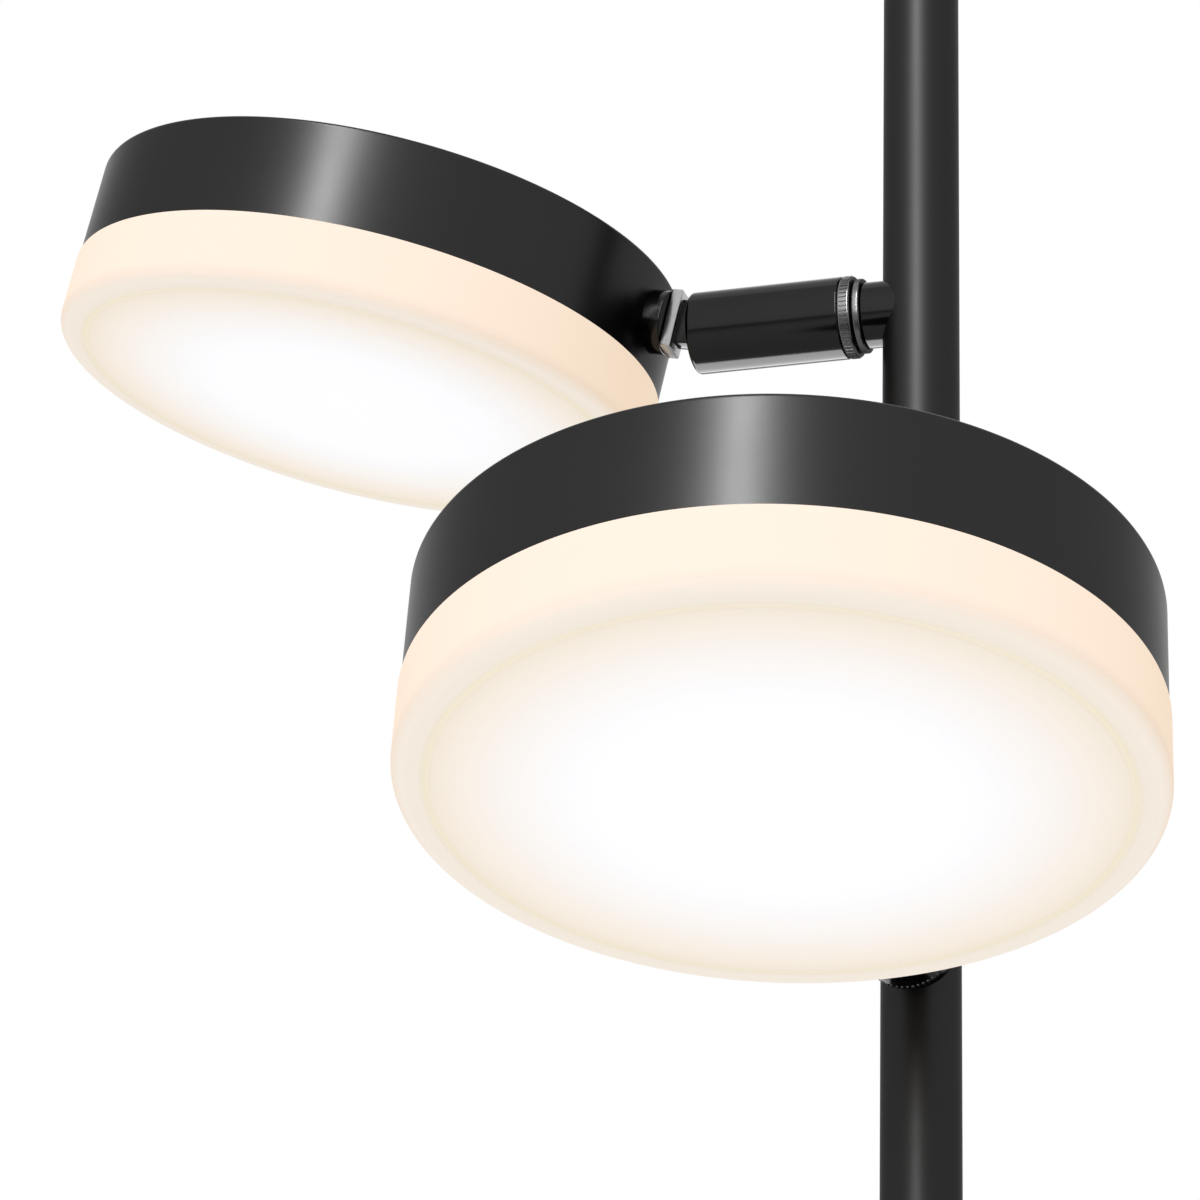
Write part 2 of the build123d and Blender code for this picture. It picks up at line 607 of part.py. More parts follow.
def lamp():
    """Every node of the lamp by name."""
    upper_tube_arms = [(height, turn) for height, turn, swivel, tilt in ARMS.values()]
    nodes = {
        "base_pad": base_pad(),
        "base_plate": base_plate(),
        "base_plate_screws": Compound(
            children=around(PLATE_SCREWS, PLATE_SCREW_RING_R, PLATE_SCREW_START, plate_screw())
        ),
        "base_weight": base_weight(),
        "base_cover": base_cover(),
        "led_driver": led_driver(),
        "cord_gland": cord_gland(),
        "foot_stud": foot_stud(),
        "foot_washer": foot_washer(),
        "foot_nut": foot_nut(),
        "pole_collar": pole_collar(),
        "lower_pole": pole_tube(BASE_HEIGHT, LOWER_POLE_TOP),
        "middle_pole": pole_tube(LOWER_POLE_TOP, MIDDLE_POLE_TOP),
        "upper_pole": pole_tube(MIDDLE_POLE_TOP, POLE_TOP, upper_tube_arms),
        "lower_pole_coupler": pole_coupler(LOWER_POLE_TOP),
        "upper_pole_coupler": pole_coupler(MIDDLE_POLE_TOP),
        "pole_cap": pole_cap(),
        "pole_cable": pole_cable(),
        "upper_lead": upper_lead(),
    }
    for name, (height, turn, swivel, tilt) in ARMS.items():
        stub_place = Pos(0, 0, height) * Rot(0, 0, turn)
        knuckle_place = stub_place * Rot(swivel, 0, 0)
        tilt_place = knuckle_place * Pos(PIVOT_X, 0, 0) * Rot(0, -tilt, 0)
        for piece, make in STUB_PIECES.items():
            nodes[f"{name}_{piece}"] = placed(stub_place, make())
        for piece, make in KNUCKLE_PIECES.items():
            nodes[f"{name}_{piece}"] = placed(knuckle_place, make())
        for piece, make in HEAD_PIECES.items():
            nodes[f"{name}_{piece}"] = placed(tilt_place, make())
    return nodes


os.makedirs("parts", exist_ok=True)
for node, shape in lamp().items():
    export_step(shape, f"parts/{node}.step")
    print(node, round(shape.volume))
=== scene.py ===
# %% [markdown]
# # A floor lamp with two lit puck heads
# The lamp has a weighted round base, a slim black pole and two flat round heads. Each head is a black drum
# over a glowing opal cup, and hangs on a short arm that swivels and tilts. We load the finished solids
# first, because they fix every size and every joint, and then dress them: smooth round skins, small
# hardware, finishes and light.

import json
import math

import bmesh
import bpy
from mathutils import Euler, Matrix, Vector

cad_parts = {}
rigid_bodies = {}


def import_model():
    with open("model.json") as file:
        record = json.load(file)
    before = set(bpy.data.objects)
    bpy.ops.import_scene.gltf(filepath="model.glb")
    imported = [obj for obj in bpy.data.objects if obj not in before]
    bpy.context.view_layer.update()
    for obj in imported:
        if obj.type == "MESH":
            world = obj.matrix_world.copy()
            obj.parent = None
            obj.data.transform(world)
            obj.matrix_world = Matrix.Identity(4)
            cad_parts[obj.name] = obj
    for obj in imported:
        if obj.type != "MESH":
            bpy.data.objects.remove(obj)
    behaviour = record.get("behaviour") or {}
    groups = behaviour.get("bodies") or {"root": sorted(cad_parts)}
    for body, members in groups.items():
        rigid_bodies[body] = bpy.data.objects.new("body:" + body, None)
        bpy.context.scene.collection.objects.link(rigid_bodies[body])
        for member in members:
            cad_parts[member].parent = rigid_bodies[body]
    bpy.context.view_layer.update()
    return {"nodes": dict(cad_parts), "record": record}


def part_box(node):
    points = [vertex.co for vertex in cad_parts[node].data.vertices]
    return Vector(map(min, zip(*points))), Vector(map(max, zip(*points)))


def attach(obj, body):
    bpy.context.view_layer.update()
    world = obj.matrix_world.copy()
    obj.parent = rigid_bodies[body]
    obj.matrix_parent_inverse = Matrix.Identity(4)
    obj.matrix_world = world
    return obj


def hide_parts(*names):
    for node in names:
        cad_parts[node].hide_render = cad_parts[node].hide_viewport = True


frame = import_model()
slot_of_node = {s["node"]: s["material_slot"] for s in frame["record"]["subparts"]}
body_of_node = {
    node: body for body, nodes in frame["record"]["behaviour"]["bodies"].items() for node in nodes
}

# %% [markdown]
# ## Sizes
# The solids are drawn in millimetres and Blender works in metres, so one constant turns the one into the
# other. Only the sizes that the skins need are repeated here. The hinges' places come from the joints
# themselves, so a head always sits where its joint says.

# %% Sizes and places
MM = 0.001
REST_TILT = {"upper": 11.9, "lower": 13.3}
PIVOT_TO_HEAD = 83.8
POLE_R = 8.0
DRUM_R = 65.0
DRUM_HALF = 11.0
SIDES = ("upper", "lower")
joints = {j["name"]: j for j in frame["record"]["behaviour"]["joints"]}


def arm_place(side):
    """The arm's own frame: its origin is on the pole's axis, X runs out along the arm and Y along its pin."""
    out = Vector(joints[f"{side}_swivel"]["axis"]).normalized()
    across = -Vector(joints[f"{side}_tilt"]["axis"]).normalized()
    turn = Matrix((out, across, out.cross(across))).transposed().to_4x4()
    return Matrix.Translation(joints[f"{side}_swivel"]["pos_m"]) @ turn


def pin_place(side):
    """The head's frame: the tilt pin is its origin, and X runs out through the middle of the drum."""
    pin = arm_place(side).inverted() @ Vector(joints[f"{side}_tilt"]["pos_m"])
    return arm_place(side) @ Matrix.Translation(pin) @ Matrix.Rotation(-math.radians(REST_TILT[side]), 4, "Y")


def head_place(side):
    """The drum's frame: Z is the drum's axis, and the origin is halfway up the drum."""
    return pin_place(side) @ Matrix.Translation((PIVOT_TO_HEAD * MM, 0, 0))


print({side: [round(v, 4) for v in head_place(side).translation] for side in SIDES})

# %% [markdown]
# ## The camera
# The lamp was seen from low down and close by, so the near head looks much bigger than the far one and we
# look up at both glowing faces. A long lens a short step away gives that. The camera is placed from a fit of
# the heads' ellipses, and is rolled a little so that the pole stays upright at the right of the picture.

# %% Camera
CAMERA_AT = Vector((-0.0653, -0.7572, 0.9402))
CAMERA_PITCH = 20.3
CAMERA_ROLL = 1.711
FOCAL_PIXELS = 3972.0
IMAGE_PIXELS = 1200.0
SENSOR_MM = 36.0
FARTHEST_SEEN = 50.0

camera_data = bpy.data.cameras.new("lamp_camera")
camera_data.sensor_width = SENSOR_MM
camera_data.lens = FOCAL_PIXELS / IMAGE_PIXELS * SENSOR_MM
camera_data.clip_end = FARTHEST_SEEN
camera = bpy.data.objects.new("lamp_camera", camera_data)
aim = Euler((math.radians(90 + CAMERA_PITCH), 0, 0)).to_matrix().to_4x4()
camera.matrix_world = (
    Matrix.Translation(CAMERA_AT) @ aim @ Matrix.Rotation(math.radians(CAMERA_ROLL), 4, "Z")
)
bpy.context.scene.collection.objects.link(camera)
bpy.context.scene.camera = camera
print("lens", round(camera_data.lens, 1), "mm")

# %% [markdown]
# ## Floor, backdrop and light
# The lamp is shown on plain white. We get that from the world's colour where the camera or a mirror-like
# surface looks at it, and keep the light that falls on the lamp at a plain level, so that the finishes look
# right under other light too. Two tall soft lights stand one behind the other, further back than the camera
# and to its left: a plain one that lights the lamp, and a strip that only glossy coats see, which draws the
# upright highlight on both drums. A low card behind the lamp does the same for the underside of the upper
# arm, and a weak light overhead reaches the tops.

# %% White world
WHITE = (1.0, 1.0, 1.0, 1.0)
WHITE_STRENGTH = 1.0
FILL_STRENGTH = 0.38

world = bpy.data.worlds.new("white_room")
bpy.context.scene.world = world
world.use_nodes = True
world_nodes = world.node_tree.nodes
world_links = world.node_tree.links
world_nodes.clear()
seen = world_nodes.new("ShaderNodeLightPath")
looked_at = seen.outputs["Is Camera Ray"]
for ray in ("Is Glossy Ray", "Is Transmission Ray"):
    either = world_nodes.new("ShaderNodeMath")
    either.operation = "MAXIMUM"
    world_links.new(looked_at, either.inputs[0])
    world_links.new(seen.outputs[ray], either.inputs[1])
    looked_at = either.outputs[0]
fill = world_nodes.new("ShaderNodeBackground")
fill.inputs["Color"].default_value = WHITE
fill.inputs["Strength"].default_value = FILL_STRENGTH
white = world_nodes.new("ShaderNodeBackground")
white.inputs["Color"].default_value = WHITE
white.inputs["Strength"].default_value = WHITE_STRENGTH
choose = world_nodes.new("ShaderNodeMixShader")
world_links.new(looked_at, choose.inputs[0])
world_links.new(fill.outputs[0], choose.inputs[1])
world_links.new(white.outputs[0], choose.inputs[2])
world_out = world_nodes.new("ShaderNodeOutputWorld")
world_links.new(choose.outputs[0], world_out.inputs["Surface"])
bpy.context.scene.view_settings.view_transform = "Standard"
print("fill strength", FILL_STRENGTH)

# %% Soft lights
HEADS_AT = (-0.05, -0.1, 1.25)
KEY_AT = (-0.86, -2.45, 3.0)
STRIP_AT = (-0.992, -2.833, 2.425)
STRIP_AIM = (-0.182, -0.483, 0.675)
OVERHEAD_AT = (0.2, 0.9, 3.0)
OVERHEAD_AIM = (0.0, 0.0, 0.6)
CARD_AT = (-0.05, 0.7, 0.68)
CARD_AIM = (-0.05, 0.0, 0.68)


def soft_light(name, at, target, size, power):
    """A rectangular soft white light that faces a point."""
    data = bpy.data.lights.new(name, "AREA")
    data.shape = "RECTANGLE"
    data.size, data.size_y = size
    data.energy = power
    light = bpy.data.objects.new(name, data)
    away = Vector(at) - Vector(target)
    light.matrix_world = Matrix.Translation(at) @ away.to_track_quat("Z", "Y").to_matrix().to_4x4()
    bpy.context.scene.collection.objects.link(light)
    return light


key = soft_light("tall_key", KEY_AT, HEADS_AT, size=(0.34, 2.6), power=66.0)
key.visible_glossy = False
strip = soft_light("tall_strip", STRIP_AT, STRIP_AIM, size=(0.34, 4.0), power=166.0)
soft_light("overhead", OVERHEAD_AT, OVERHEAD_AIM, size=(2.2, 2.2), power=10.0)
card = soft_light("low_card", CARD_AT, CARD_AIM, size=(1.2, 1.02), power=40.0)
for shine in (strip, card):
    shine.visible_camera = False
    shine.visible_diffuse = False

# %% Floor
FLOOR_HALF = 6.0
FLOOR_COLOUR = (0.86, 0.86, 0.86, 1.0)
FLOOR_ROUGHNESS = 0.9

floor_mesh = bpy.data.meshes.new("studio_floor")
corners = [(-FLOOR_HALF, -FLOOR_HALF, 0), (FLOOR_HALF, -FLOOR_HALF, 0)]
corners += [(FLOOR_HALF, FLOOR_HALF, 0), (-FLOOR_HALF, FLOOR_HALF, 0)]
floor_mesh.from_pydata(corners, [], [(0, 1, 2, 3)])
floor = bpy.data.objects.new("studio_floor", floor_mesh)
bpy.context.scene.collection.objects.link(floor)
floor_paint = bpy.data.materials.new("studio_floor")
floor_paint.use_nodes = True
floor_shader = floor_paint.node_tree.nodes["Principled BSDF"]
floor_shader.inputs["Base Color"].default_value = FLOOR_COLOUR
floor_shader.inputs["Roughness"].default_value = FLOOR_ROUGHNESS
floor_mesh.materials.append(floor_paint)
print("floor", 2 * FLOOR_HALF, "m across")

# %% [markdown]
# ## Shared effects
# Three small node groups serve several finishes. *Coat grain* is the fine pebbling of a sprayed coat.
# *Handling* is the broad unevenness of gloss that hands and cloths leave. *Settled dust* finds faces that
# look up and breaks them into faint patches. Each group gives only masks and heights, and each finish
# decides what to do with them.


# %% Node group helpers
def node_group(name, inputs, outputs):
    """An empty shader group with named sockets. Inputs are (name, kind, start value)."""
    tree = bpy.data.node_groups.new(name, "ShaderNodeTree")
    for label, kind, start in inputs:
        socket = tree.interface.new_socket(label, in_out="INPUT", socket_type=f"NodeSocket{kind}")
        if start is not None:
            socket.default_value = start
    for label, kind in outputs:
        tree.interface.new_socket(label, in_out="OUTPUT", socket_type=f"NodeSocket{kind}")
    return tree, tree.nodes.new("NodeGroupInput"), tree.nodes.new("NodeGroupOutput")


def math_node(tree, operation, first, second=None, third=None):
    """A Math node whose inputs are sockets or plain numbers."""
    node = tree.nodes.new("ShaderNodeMath")
    node.operation = operation
    for i, value in enumerate((first, second, third)):
        if value is None:
            continue
        if isinstance(value, (int, float)):
            node.inputs[i].default_value = value
        else:
            tree.links.new(value, node.inputs[i])
    return node.outputs[0]


def noise(tree, vector, scale, detail, roughness):
    """A noise texture's value; the scale may be a number or a socket."""
    node = tree.nodes.new("ShaderNodeTexNoise")
    tree.links.new(vector, node.inputs["Vector"])
    node.inputs["Detail"].default_value = detail
    node.inputs["Roughness"].default_value = roughness
    if isinstance(scale, (int, float)):
        node.inputs["Scale"].default_value = scale
    else:
        tree.links.new(scale, node.inputs["Scale"])
    return node.outputs[0]


print("helpers for node groups: node_group, math_node, noise")

# %% Coat grain, handling and settled dust
NOISE_MIDDLE = 0.5
SMEARS_PER_METRE = 38.0
DUST_PATCHES_PER_METRE = 120.0
DUST_FACING = 0.6
DUST_SOFTNESS = 0.05

grain, grain_in, grain_out = node_group(
    "coat_grain", [("Vector", "Vector", None), ("Pebbles per metre", "Float", 2600.0)], [("Height", "Float")]
)
pebble_size = grain_in.outputs["Pebbles per metre"]
pebbles = noise(grain, grain_in.outputs["Vector"], pebble_size, detail=3.0, roughness=0.55)
grain.links.new(pebbles, grain_out.inputs["Height"])

handling, handling_in, handling_out = node_group(
    "handling",
    [("Vector", "Vector", None), ("Plain roughness", "Float", 0.4), ("Swing", "Float", 0.08)],
    [("Roughness", "Float"), ("Smears", "Float")],
)
smears = noise(handling, handling_in.outputs["Vector"], SMEARS_PER_METRE, detail=4.0, roughness=0.6)
centred = math_node(handling, "SUBTRACT", smears, NOISE_MIDDLE)
swing = math_node(handling, "MULTIPLY", centred, handling_in.outputs["Swing"])
uneven = math_node(handling, "ADD", swing, handling_in.outputs["Plain roughness"])
handling.links.new(uneven, handling_out.inputs["Roughness"])
handling.links.new(smears, handling_out.inputs["Smears"])

dust, dust_in, dust_out = node_group(
    "settled_dust", [("Vector", "Vector", None), ("Amount", "Float", 0.1)], [("Mask", "Float")]
)
facing = dust.nodes.new("ShaderNodeTexCoord")
split = dust.nodes.new("ShaderNodeSeparateXYZ")
dust.links.new(facing.outputs["Normal"], split.inputs[0])
steep = math_node(dust, "SUBTRACT", split.outputs["Z"], DUST_FACING)
upward = math_node(dust, "SMOOTH_MAX", steep, 0.0, DUST_SOFTNESS)
patches = noise(dust, dust_in.outputs["Vector"], DUST_PATCHES_PER_METRE, detail=5.0, roughness=0.65)
patchy = math_node(dust, "MULTIPLY", upward, patches)
thin = math_node(dust, "MULTIPLY", patchy, dust_in.outputs["Amount"])
dust.links.new(thin, dust_out.inputs["Mask"])
print("groups", [g.name for g in bpy.data.node_groups])

# %% [markdown]
# ## Finishes
# The metal is satin black, with a middling roughness and a very fine pebble that softens highlights without
# showing as bumps. We could mix a dark paint, but paint mirrors a white room strongly at its edges, and
# this black stays dark there. A very dark metal does that, because its edge tint can hold the edges back. The
# inner hardware is zinc plated, the washers and rings on the arms have a darker plate, the weight is raw
# iron, and the small mouldings are fine matte plastic.


# %% Finish helper
def place_group(tree, group, vector, **values):
    """Puts a shared effect into a material and gives it this finish's own values."""
    node = tree.nodes.new("ShaderNodeGroup")
    node.node_tree = group
    tree.links.new(vector, node.inputs["Vector"])
    for label, value in values.items():
        node.inputs[label.replace("_", " ")].default_value = value
    return node


DUST_COLOUR = (0.45, 0.43, 0.4)
SMEAR_SHADE = 0.8
PEBBLE_HEIGHT = 0.0002


def finish(
    name, colour, roughness, swing=0.08, pebbles=2600.0, bump=0.03, dusty=0.0, metallic=0.0, edges=1.0
):
    """A sprayed, plated or moulded finish made from the shared effects."""
    material = bpy.data.materials.new(name)
    material.use_nodes = True
    tree = material.node_tree
    shader = tree.nodes["Principled BSDF"]
    shader.inputs["Metallic"].default_value = metallic
    shader.inputs["Specular Tint"].default_value = (edges, edges, edges, 1.0)
    where = tree.nodes.new("ShaderNodeTexCoord").outputs["Object"]
    gloss = place_group(tree, handling, where, Plain_roughness=roughness, Swing=swing)
    tree.links.new(gloss.outputs["Roughness"], shader.inputs["Roughness"])
    tint = tree.nodes.new("ShaderNodeMix")
    tint.data_type = "RGBA"
    tint.inputs["A"].default_value = (*colour, 1.0)
    tree.links.new(tint.outputs["Result"], shader.inputs["Base Color"])
    if dusty:
        tint.inputs["B"].default_value = (*DUST_COLOUR, 1.0)
        veil = place_group(tree, dust, where, Amount=dusty)
        tree.links.new(veil.outputs["Mask"], tint.inputs["Factor"])
    else:
        tint.inputs["B"].default_value = (*(SMEAR_SHADE * c for c in colour), 1.0)
        tree.links.new(gloss.outputs["Smears"], tint.inputs["Factor"])
    if bump:
        pebble = place_group(tree, grain, where, Pebbles_per_metre=pebbles)
        relief = tree.nodes.new("ShaderNodeBump")
        relief.inputs["Strength"].default_value = bump
        relief.inputs["Distance"].default_value = PEBBLE_HEIGHT
        tree.links.new(pebble.outputs["Height"], relief.inputs["Height"])
        tree.links.new(relief.outputs["Normal"], shader.inputs["Normal"])
    return material


print("pebble height", PEBBLE_HEIGHT, "m")

# %% Metal, felt and moulded finishes
BLACK = (0.031, 0.031, 0.031)
POLE_BLACK = (0.027, 0.027, 0.027)
EDGES = 0.6
PLATE_EDGES = 0.3

finishes = {
    "black_steel": finish(
        "satin_black_coat", POLE_BLACK, 0.26, bump=0.04, dusty=0.08, metallic=1.0, edges=EDGES
    ),
    "black_aluminium": finish("satin_black_drum", BLACK, 0.3, dusty=0.06, metallic=1.0, edges=EDGES),
    "iron": finish(
        "raw_iron", (0.11, 0.11, 0.115), 0.7, swing=0.15, pebbles=900.0, bump=0.4, metallic=0.6
    ),
    "zinc_steel": finish(
        "zinc_plate", (0.5, 0.5, 0.5), 0.3, swing=0.1, pebbles=1500.0, bump=0.04, metallic=1.0
    ),
    "felt": finish("dense_felt", (0.035, 0.035, 0.036), 0.95, swing=0.05, pebbles=1200.0, bump=0.8),
    "black_plastic": finish(
        "fine_matte_moulding", (0.03, 0.03, 0.031), 0.55, swing=0.06, pebbles=1800.0, bump=0.15, dusty=0.08
    ),
    "lead_sheath": finish("lead_sheath", (0.72, 0.72, 0.7), 0.5, swing=0.06, pebbles=1200.0, bump=0.05),
    "board_white": finish(
        "solder_mask_white", (0.84, 0.84, 0.82), 0.35, swing=0.05, pebbles=900.0, bump=0.03
    ),
    "phosphor": finish("phosphor_lens", (0.93, 0.72, 0.24), 0.3, swing=0.04, pebbles=1500.0, bump=0.05),
    "white_plastic": finish(
        "white_moulding", (0.86, 0.86, 0.84), 0.4, swing=0.05, pebbles=1500.0, bump=0.05
    ),
}
knuckle_black = finish("gloss_black_knuckle", BLACK, 0.13, swing=0.03, bump=0.0, metallic=1.0, edges=EDGES)
pole_black = finish("satin_black_pole", POLE_BLACK, 0.44, bump=0.04, dusty=0.08, metallic=1.0, edges=EDGES)
dark_plate = finish(
    "dark_plate", (0.15, 0.15, 0.15), 0.26, swing=0.1, pebbles=1500.0, bump=0.04,
    metallic=1.0, edges=PLATE_EDGES,
)
print("finishes", len(finishes), "and three for the arms, the pole and the rings")

# %% [markdown]
# ## The lit opal
# Opal plastic scatters the light of the chips behind it. Its face is near white in the middle and turns
# cream towards the fine ring, where less light arrives, and its straight side is a warm peach. The cup
# carries its own map of how far each point lies from the middle of the face, so the glow follows the cup
# however the head is turned.

# %% Opal
GLOW_STOPS = (
    (0.00, (0.83, 0.83, 0.825)),
    (0.230, (0.82, 0.82, 0.815)),
    (0.275, (0.80, 0.793, 0.783)),
    (0.332, (0.788, 0.757, 0.705)),
    (0.378, (0.776, 0.715, 0.635)),
    (0.408, (0.767, 0.685, 0.575)),
    (0.430, (0.745, 0.66, 0.53)),
    (0.447, (0.72, 0.635, 0.495)),
    (0.4515, (0.66, 0.59, 0.42)),
    (0.4570, (0.66, 0.59, 0.42)),
    (0.463, (0.715, 0.64, 0.52)),
    (0.500, (0.735, 0.655, 0.545)),
    (0.566, (0.735, 0.575, 0.415)),
    (0.63, (0.785, 0.61, 0.435)),
    (1.00, (0.785, 0.61, 0.435)),
)
OPAL_COLOUR = (0.30, 0.30, 0.34, 1.0)
OPAL_ROUGHNESS = 0.34
OPAL_SWING = 0.05

opal = bpy.data.materials.new("lit_opal")
opal.use_nodes = True
opal_tree = opal.node_tree
opal_shader = opal_tree.nodes["Principled BSDF"]
reach = opal_tree.nodes.new("ShaderNodeAttribute")
reach.attribute_name = "reach"
glow = opal_tree.nodes.new("ShaderNodeValToRGB")
ramp = glow.color_ramp
while len(ramp.elements) < len(GLOW_STOPS):
    ramp.elements.new(0.5)
for element, (position, colour) in zip(ramp.elements, GLOW_STOPS):
    element.position = position
    element.color = (*colour, 1.0)
opal_tree.links.new(reach.outputs["Fac"], glow.inputs["Fac"])
where = opal_tree.nodes.new("ShaderNodeTexCoord").outputs["Object"]
gloss = place_group(opal_tree, handling, where, Plain_roughness=OPAL_ROUGHNESS, Swing=OPAL_SWING)
opal_tree.links.new(gloss.outputs["Roughness"], opal_shader.inputs["Roughness"])
opal_tree.links.new(glow.outputs["Color"], opal_shader.inputs["Emission Color"])
opal_shader.inputs["Emission Strength"].default_value = 1.0
opal_shader.inputs["Base Color"].default_value = OPAL_COLOUR
opal_shader.inputs["Specular IOR Level"].default_value = 0.0
finishes["opal"] = opal
print("glow stops", len(GLOW_STOPS))

# %% [markdown]
# ## Turned pieces
# Most of this lamp is turned or spun, so one helper makes a closed ring of faces from half an outline, as a
# lathe would. A second helper rounds the outline's corners first, because no real edge is perfectly sharp
# and it is the small rounding that catches the light. Smooth shading with sharp corners kept gives clean
# highlights.

# %% Rounded outlines
BESIDE_ROUNDING = 0.3


def eased(corners, steps=5):
    """Outline points from corners (r, z) or (r, z, rounding), in millimetres.

    Each rounding is an arc with one more point a little way beside each of its ends.
    """
    points = []
    count = len(corners)
    for i, corner in enumerate(corners):
        here = Vector(corner[:2])
        rounding = corner[2] if len(corner) > 2 else 0.0
        if not rounding:
            points.append(here)
            continue
        before = (Vector(corners[i - 1][:2]) - here).normalized()
        after = (Vector(corners[(i + 1) % count][:2]) - here).normalized()
        half = before.angle(after) / 2
        middle = here + (before + after).normalized() * (rounding / math.sin(half))
        start = here + before * (rounding / math.tan(half)) - middle
        stop = here + after * (rounding / math.tan(half)) - middle
        turn = start.angle_signed(stop)
        beside = BESIDE_ROUNDING * rounding
        points.append(middle + start + before * beside)
        for step in range(steps + 1):
            points.append(middle + Matrix.Rotation(-turn * step / steps, 2) @ start)
        points.append(middle + stop + after * beside)
    return points


print("points on a rounded corner", len(eased([(0, 0), (1, 0, 0.2), (1, 1)])) - 2)

# %% Lathe
KEEP_SHARP = 32.0
MERGE_WITHIN = 1e-7
ON_AXIS = 1e-6


def tidy_mesh(mesh, keep_sharp=KEEP_SHARP):
    """Points every face outwards and shades smoothly between sharp edges."""
    work = bmesh.new()
    work.from_mesh(mesh)
    bmesh.ops.remove_doubles(work, verts=work.verts, dist=MERGE_WITHIN)
    bmesh.ops.recalc_face_normals(work, faces=work.faces)
    work.to_mesh(mesh)
    work.free()
    mesh.shade_smooth()
    mesh.set_sharp_from_angle(angle=math.radians(keep_sharp))
    return mesh


def lathe(name, outline, place, segments):
    """A closed turned mesh from an outline of (r, z) in millimetres that runs round the section once."""
    verts, rings = [], []
    for r, z in outline:
        if r < ON_AXIS:
            rings.append([len(verts)] * segments)
            verts.append(Vector((0, 0, z * MM)))
            continue
        rings.append(list(range(len(verts), len(verts) + segments)))
        for k in range(segments):
            a = 2 * math.pi * k / segments
            verts.append(Vector((r * MM * math.cos(a), r * MM * math.sin(a), z * MM)))
    faces = []
    for i, low in enumerate(rings):
        high = rings[(i + 1) % len(rings)]
        for k in range(segments):
            n = (k + 1) % segments
            loop = dict.fromkeys((low[k], low[n], high[n], high[k]))
            if len(loop) > 2:
                faces.append(tuple(loop))
    mesh = bpy.data.meshes.new(name)
    mesh.from_pydata([place @ v for v in verts], [], faces)
    return tidy_mesh(mesh)


print("edges stay sharp past", KEEP_SHARP, "degrees")

# %% Put a piece on the lamp
skins = []


def wear(mesh, *nodes, own_finish=None):
    """Hangs a mesh on the lamp in place of some solids, on their body.

    It gets the finish of their slot, or one of its own.
    """
    piece = bpy.data.objects.new(f"{nodes[0]}_skin", mesh)
    bpy.context.scene.collection.objects.link(piece)
    slot = slot_of_node[nodes[0]]
    mesh.materials.clear()
    mesh.materials.append(own_finish or finishes[slot])
    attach(piece, body_of_node[nodes[0]])
    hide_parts(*nodes)
    skins.append(piece)


print("slots to dress", sorted(set(slot_of_node.values())))

# %% [markdown]
# ## Heads
# Each head is two turned pieces. The drum is a black cup with a small rounding at its top edge. The opal
# cup below is a hair wider than the drum, so a thin bright line shows at the seam. Its lower edge is
# generously rounded and a fine round-bottomed ring is turned into its face.

# %% Drums
DRUM_WALL = 1.5
DRUM_ROOF = 3.0
DRUM_TOP_EASE = 0.9
DRUM_RIM_EASE = 0.15
HEAD_SEGMENTS = 256
DRUM_OUTLINE = [
    (0, DRUM_HALF),
    (DRUM_R, DRUM_HALF, DRUM_TOP_EASE),
    (DRUM_R, -DRUM_HALF, DRUM_RIM_EASE),
    (DRUM_R - DRUM_WALL, -DRUM_HALF),
    (DRUM_R - DRUM_WALL, DRUM_HALF - DRUM_ROOF),
    (0, DRUM_HALF - DRUM_ROOF),
]
for side in SIDES:
    wear(lathe(f"{side}_drum", eased(DRUM_OUTLINE), head_place(side), HEAD_SEGMENTS), f"{side}_drum")
print("drum points", len(eased(DRUM_OUTLINE)))

# %% Opal cups
CUP_R = 65.4
CUP_TOP = -DRUM_HALF
CUP_HEIGHT = 15.2
CUP_LOW = CUP_TOP - CUP_HEIGHT
CUP_EDGE = 2.6
CUP_EDGE_STEPS = 10
CUP_INSIDE_R = 61.3
CUP_FLOOR = 3.4
LIP_R = 63.3
LIP_HEIGHT = 6.0
LIP_EASE = 0.3
SEAM_EASE = 0.25
SIDE_BELOW_SEAM = 5.0
SIDE_ABOVE_EDGE = 8.0
FACE_RIM_R = 61.6
FACE_RADII = (57.5, 55, 50, 44, 36, 27, 18, 9, 0)
RING_R = 59.4
RING_HALF = 0.6
RING_DEPTH = 0.9
RING_STEPS = 8
RING_ROUNDNESS = 0.8


def ring_groove():
    """The fine ring's round-bottomed groove, from its outer edge to its inner one."""
    points = []
    for step in range(RING_STEPS + 1):
        across = 1 - 2 * step / RING_STEPS
        depth = 0.0
        if abs(across) < 1:
            depth = RING_DEPTH * math.cos(across * math.pi / 2) ** RING_ROUNDNESS
        points.append(Vector((RING_R + RING_HALF * across, CUP_LOW + depth)))
    return points


def cup_outline():
    """The opal cup's section: its lip, the side, the ringed face as far as the middle, and the inside."""
    lip = CUP_TOP + LIP_HEIGHT
    rim = [(CUP_INSIDE_R, lip), (LIP_R, lip, LIP_EASE), (LIP_R, CUP_TOP)]
    side = eased([*rim, (CUP_R, CUP_TOP, SEAM_EASE), (CUP_R, CUP_TOP - SIDE_BELOW_SEAM)])
    corners = [(CUP_R, CUP_LOW + SIDE_ABOVE_EDGE), (CUP_R, CUP_LOW, CUP_EDGE), (FACE_RIM_R, CUP_LOW)]
    face = [Vector((r, CUP_LOW)) for r in FACE_RADII]
    inside = [Vector((0, CUP_LOW + CUP_FLOOR)), Vector((CUP_INSIDE_R, CUP_LOW + CUP_FLOOR))]
    return side + eased(corners, CUP_EDGE_STEPS) + ring_groove() + face + inside


print("cup points", len(cup_outline()))

